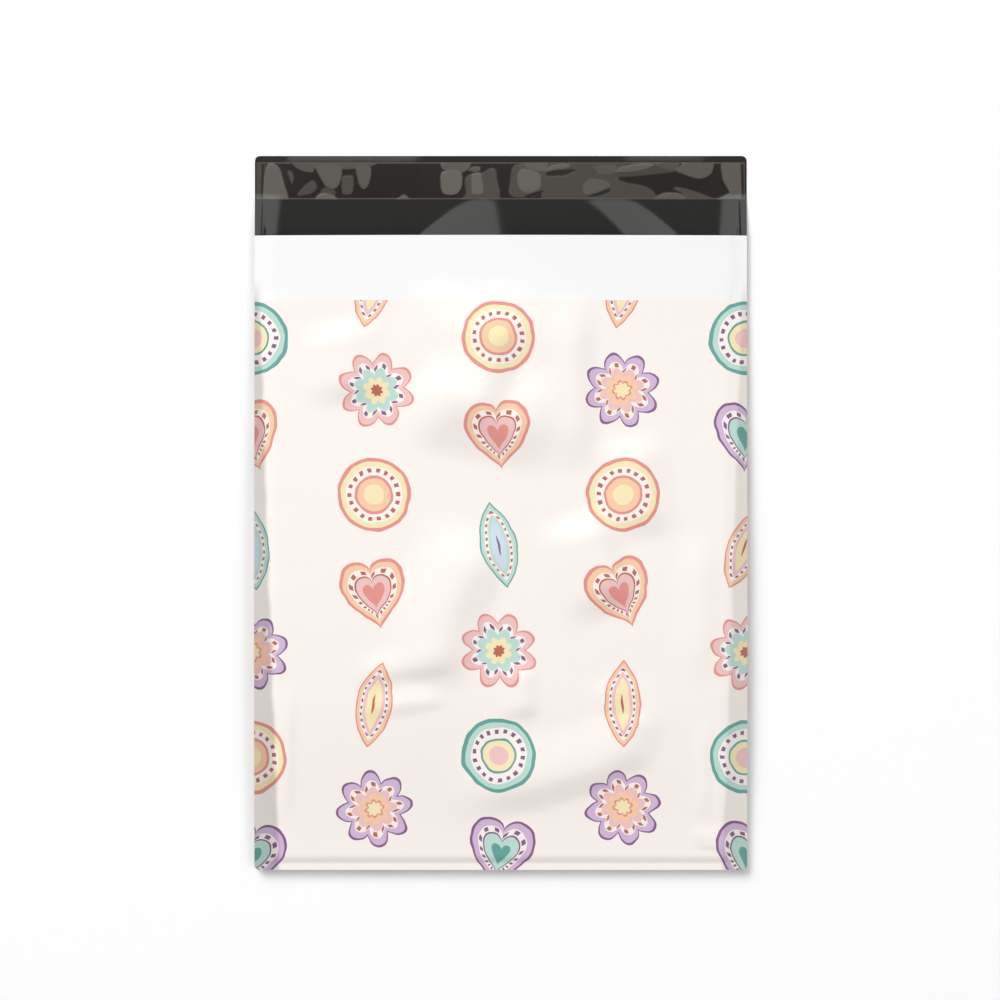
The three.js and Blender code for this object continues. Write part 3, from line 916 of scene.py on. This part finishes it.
def strip_tree():
    """Geometry nodes that lay a flat strip on the film below it, at a clearance and its own lift."""
    tree = bpy.data.node_groups.new("strip_on_flap", "GeometryNodeTree")
    for name, kind in (("Strip", "NodeSocketGeometry"), ("Film", "NodeSocketObject"),
                       ("Clearance", "NodeSocketFloat"), ("Finish", "NodeSocketMaterial")):
        tree.interface.new_socket(name, in_out="INPUT", socket_type=kind)
    tree.interface.new_socket("Strip", in_out="OUTPUT", socket_type="NodeSocketGeometry")
    given = tree.nodes.new("NodeGroupInput").outputs
    film = add(tree, "GeometryNodeObjectInfo", {"Object": given["Film"]}, "Geometry")
    place = add(tree, "GeometryNodeInputPosition")
    above = vectors(tree, "ADD", place, (0, 0, RAY_START))
    hit = add(tree, "GeometryNodeRaycast", {
        "Target Geometry": film, "Source Position": above, "Ray Direction": (0, 0, -1),
        "Ray Length": 2 * RAY_START,
    }, "Hit Position")
    lift = add(tree, "GeometryNodeInputNamedAttribute", {"Name": "lift"}, data_type="FLOAT")
    height = maths(tree, "ADD", lift, given["Clearance"])
    offset = add(tree, "ShaderNodeCombineXYZ", {"Z": height})
    laid = add(tree, "GeometryNodeSetPosition", {
        "Geometry": given["Strip"], "Position": hit, "Offset": offset,
    })
    painted = add(tree, "GeometryNodeSetMaterial", {"Geometry": laid, "Material": given["Finish"]})
    add(tree, "NodeGroupOutput", [painted])
    return tree


def strip_mesh(name, node, pitch, lift, clearance_mm, thickness_mm, material):
    """A strip a fraction of a millimetre thick over the flap where its solid is. lift gives its rise,
    in millimetres, and a share of how far it has lifted at each place."""
    low, high = box_mm(node)
    counts = [math.ceil((high[axis] - low[axis]) / pitch) + 1 for axis in (0, 1)]
    x, y = np.meshgrid(*(np.linspace(low[axis], high[axis], counts[axis]) for axis in (0, 1)))
    grid = np.arange(x.size).reshape(x.shape)
    faces = np.stack([grid[:-1, :-1], grid[:-1, 1:], grid[1:, 1:], grid[1:, :-1]], -1).reshape(-1, 4)
    flat = bpy.data.meshes.new(name)
    points = np.stack([x, y, np.zeros_like(x)], -1).reshape(-1, 3)
    flat.from_pydata(points * MM, [], [list(face) for face in faces])
    rise, lifted = lift(x, y)
    for key, values in (("lift", rise * MM), ("lifted", lifted)):
        attribute = flat.attributes.new(key, "FLOAT", "POINT")
        attribute.data.foreach_set("value", values.astype(np.float32).ravel())
    source = bpy.data.objects.new(name + "_source", flat)
    bpy.context.scene.collection.objects.link(source)
    layer = source.modifiers.new("laid", "NODES")
    layer.node_group = bpy.data.node_groups.get("strip_on_flap") or strip_tree()
    names = {item.name: item.identifier for item in layer.node_group.interface.items_tree
             if item.in_out == "INPUT"}
    layer[names["Film"]] = bpy.data.objects["printed_bag"]
    layer[names["Clearance"]] = clearance_mm * MM
    layer[names["Finish"]] = material
    wall = source.modifiers.new("wall", "SOLIDIFY")
    wall.thickness = thickness_mm * MM
    wall.offset = 1
    evaluated = source.evaluated_get(bpy.context.evaluated_depsgraph_get())
    mesh = bpy.data.meshes.new_from_object(evaluated)
    bpy.data.objects.remove(source)
    bpy.data.meshes.remove(flat)
    mesh.name = name
    mesh.shade_smooth()
    mesh.set_sharp_from_angle(angle=SHARP_ANGLE)
    return mesh


def no_lift(x, y):
    """No rise, and nothing lifted."""
    return np.zeros(np.shape(x)), np.zeros(np.shape(x))


class MAILER_OT_glue_strip(bpy.types.Operator):
    """Lay the hot-melt strip on the flap"""

    bl_idname = "mailer.glue_strip"
    bl_label = "Glue Strip"

    pitch_mm = 1.5
    clearance_mm = 0.02
    thickness_mm = 0.06

    def execute(self, context):
        material = hot_melt(context.scene.mailer_colours)
        mesh = strip_mesh("glue_strip", "adhesive_strip", self.pitch_mm, no_lift,
                          self.clearance_mm, self.thickness_mm, material)
        finish_piece(mesh, "glue_strip", "adhesive_strip")
        return {"FINISHED"}


# Air pockets under the liner, and the pale lines along its edges, in millimetres
PATCH_STEPS = 4  # points of the curve from one corner of an outline to the next
PATCH_RISE = 0.06
PATCH_SOFT = 0.7  # width over which the tone changes
PATCH_SLOPE = 1.4  # width over which the liner rises
EDGE_TONE = 0.6
EDGE_WIDTH = 0.9


def outside_by(x, y, corners):
    """Distance of each place from the outline of a patch, less than 0 inside it."""
    nearest = np.full(np.shape(x), np.inf)
    inside = np.zeros(np.shape(x), bool)
    for (ax, ay), (bx, by) in zip(corners, np.roll(corners, -1, 0)):
        dx, dy = bx - ax, by - ay
        t = np.clip(((x - ax) * dx + (y - ay) * dy) / (dx * dx + dy * dy + TINY), 0, 1)
        nearest = np.minimum(nearest, np.hypot(x - ax - t * dx, y - ay - t * dy))
        crosses = (ay > y) != (by > y)
        inside ^= crosses & (x < ax + dx * (y - ay) / (dy + TINY * (dy == 0)))
    return np.where(inside, -nearest, nearest)


def round_through(corners):
    """A closed curve through the points of an outline."""
    here = np.array(corners, float)
    before, after, beyond = np.roll(here, 1, 0), np.roll(here, -1, 0), np.roll(here, -2, 0)
    t = np.linspace(0, 1, PATCH_STEPS, endpoint=False)[:, None, None]
    square = 2 * before - 5 * here + 4 * after - beyond
    cube = 3 * here - before - 3 * after + beyond
    curve = here + (after - before) / 2 * t + square / 2 * t ** 2 + cube / 2 * t ** 3
    return curve.transpose(1, 0, 2).reshape(-1, 2)


def liner_lift(x, y):
    """Rise of the liner over its air pockets, and how far it has lifted at each place."""
    low, high = (corner[1] for corner in box_mm("release_liner"))
    lifted, rise = np.zeros(np.shape(x)), np.zeros(np.shape(x))
    for share, corners in PATCHES:
        out = outside_by(x, y - low, round_through(corners))
        lifted = mix(lifted, share, ease(0.5 - out / PATCH_SOFT))
        rise = mix(rise, share, ease(0.5 - out / PATCH_SLOPE))
    to_edge = np.minimum(y - low, high - y)
    edge = EDGE_TONE * ease(2 - 2 * to_edge / EDGE_WIDTH)
    return PATCH_RISE * rise, np.maximum(lifted, edge)


class MAILER_OT_release_liner(bpy.types.Operator):
    """Lay the clear liner over the glue, lifted here and there by air"""

    bl_idname = "mailer.release_liner"
    bl_label = "Release Liner"

    pitch_mm = 0.45
    clearance_mm = 0.1
    thickness_mm = 0.05

    def execute(self, context):
        material = liner_film(context.scene.mailer_colours)
        mesh = strip_mesh("liner_strip", "release_liner", self.pitch_mm, liner_lift,
                          self.clearance_mm, self.thickness_mm, material)
        finish_piece(mesh, "liner_strip", "release_liner")
        return {"FINISHED"}


# Studio

FRAME_WIDTH = 516.6 * MM  # of floor that the camera sees
VIEW_CENTRE = (-0.4 * MM, 6.44 * MM)
LENS = 120.0
SENSOR = 36.0
FLOOR_DROP = 0.2 * MM  # keeps the paper clear of the film
FLOOR_SIZE = 12.0
PAPER_GLOW = 0.03  # for the camera alone
WORLD_LEVEL = 0.25

# Each lamp's place and the point that it faces, its two sides, in metres, and its radiance
LAMPS = {
    "key_softbox": ((-4.3, 5.6, 5.4), (0, 0, 0), (6.6, 4.4), 7.3),
    "fill_softbox": ((5.2, -2.4, 4.6), (0, 0, 0), (6.0, 3.8), 2.3),
    "strip_softbox": ((-0.1, 1.27, 3.5), (0, 0.16, 0), (3.2, 1.2), 1.55),
}


def softbox(name, place, target, size, radiance):
    """A rectangular lamp of even radiance, facing a target."""
    lamp = bpy.data.lights.new(name, "AREA")
    lamp.shape = "RECTANGLE"
    lamp.size, lamp.size_y = size
    lamp.energy = radiance * math.pi * size[0] * size[1]
    holder = bpy.data.objects.new(name, lamp)
    holder.location = place
    holder.rotation_euler = (Vector(target) - Vector(place)).to_track_quat("-Z", "Y").to_euler()
    bpy.context.scene.collection.objects.link(holder)


def floor_paper():
    """White paper sweep: matt, and lifted a little for the camera to an even white."""
    material, tree = new_material("white paper sweep, matt")
    camera = add(tree, "ShaderNodeLightPath")
    glow = add(tree, "ShaderNodeEmission", {"Color": linear("#ffffff"), "Strength": PAPER_GLOW})
    nothing = add(tree, "ShaderNodeEmission", {"Strength": 0.0})
    paper = add(tree, "ShaderNodeBsdfDiffuse", {"Color": linear("#fdfdfd")})
    lift = add(tree, "ShaderNodeMixShader", [camera, nothing, glow])
    add(tree, "ShaderNodeOutputMaterial", [add(tree, "ShaderNodeAddShader", [paper, lift])])
    return material


def studio_floor():
    """The sheet of paper that the bag lies on."""
    half = FLOOR_SIZE / 2
    mesh = bpy.data.meshes.new("floor")
    corners = [(-half, -half), (half, -half), (half, half), (-half, half)]
    mesh.from_pydata([(x, y, -FLOOR_DROP) for x, y in corners], [], [(0, 1, 2, 3)])
    mesh.materials.append(floor_paper())
    floor = bpy.data.objects.new("floor", mesh)
    bpy.context.scene.collection.objects.link(floor)


def studio_world():
    """A dim white room, which the camera sees as plain white."""
    world = bpy.data.worlds.new("studio")
    world.use_nodes = True
    tree = world.node_tree
    tree.nodes.clear()
    camera_ray = add(tree, "ShaderNodeLightPath")
    room = add(tree, "ShaderNodeBackground", {"Color": linear("#ffffff"), "Strength": WORLD_LEVEL})
    white = add(tree, "ShaderNodeBackground", {"Color": linear("#ffffff"), "Strength": 1.0})
    sky = add(tree, "ShaderNodeMixShader", [camera_ray, room, white])
    add(tree, "ShaderNodeOutputWorld", [sky])
    bpy.context.scene.world = world


def studio_camera():
    """A camera that looks straight down."""
    data = bpy.data.cameras.new("camera")
    data.lens = LENS
    data.sensor_width = SENSOR
    camera = bpy.data.objects.new("camera", data)
    camera.location = (*VIEW_CENTRE, FRAME_WIDTH * LENS / SENSOR)
    bpy.context.scene.collection.objects.link(camera)
    bpy.context.scene.camera = camera


class MAILER_OT_studio(bpy.types.Operator):
    """Set up the floor, the lamps and the camera"""

    bl_idname = "mailer.studio"
    bl_label = "Studio"

    def execute(self, context):
        studio_floor()
        studio_world()
        for name, settings in LAMPS.items():
            softbox(name, *settings)
        studio_camera()
        context.scene.view_settings.view_transform = "Standard"
        return {"FINISHED"}


class MAILER_PT_sidebar(bpy.types.Panel):
    """Lists the bag's sizes, colours and builders"""

    bl_idname = "MAILER_PT_sidebar"
    bl_label = "Poly Mailer Bag"
    bl_space_type = "VIEW_3D"
    bl_region_type = "UI"
    bl_category = "Mailer"

    def draw(self, context):
        for group in (context.scene.mailer_sizes, context.scene.mailer_colours):
            for name in group.__annotations__:
                self.layout.prop(group, name)
        for operator in OPERATORS:
            self.layout.operator(operator.bl_idname)


OPERATORS = (MAILER_OT_printed_bag, MAILER_OT_glue_strip, MAILER_OT_release_liner, MAILER_OT_studio)
CLASSES = (MailerSizes, MailerColours, *OPERATORS, MAILER_PT_sidebar)


def register():
    for item in CLASSES:
        bpy.utils.register_class(item)
    bpy.types.Scene.mailer_sizes = bpy.props.PointerProperty(type=MailerSizes)
    bpy.types.Scene.mailer_colours = bpy.props.PointerProperty(type=MailerColours)


def unregister():
    del bpy.types.Scene.mailer_colours
    del bpy.types.Scene.mailer_sizes
    for item in reversed(CLASSES):
        bpy.utils.unregister_class(item)


def main():
    register()
    bpy.ops.mailer.printed_bag()
    bpy.ops.mailer.glue_strip()
    bpy.ops.mailer.release_liner()
    bpy.ops.mailer.studio()


if __name__ == "__main__":
    main()
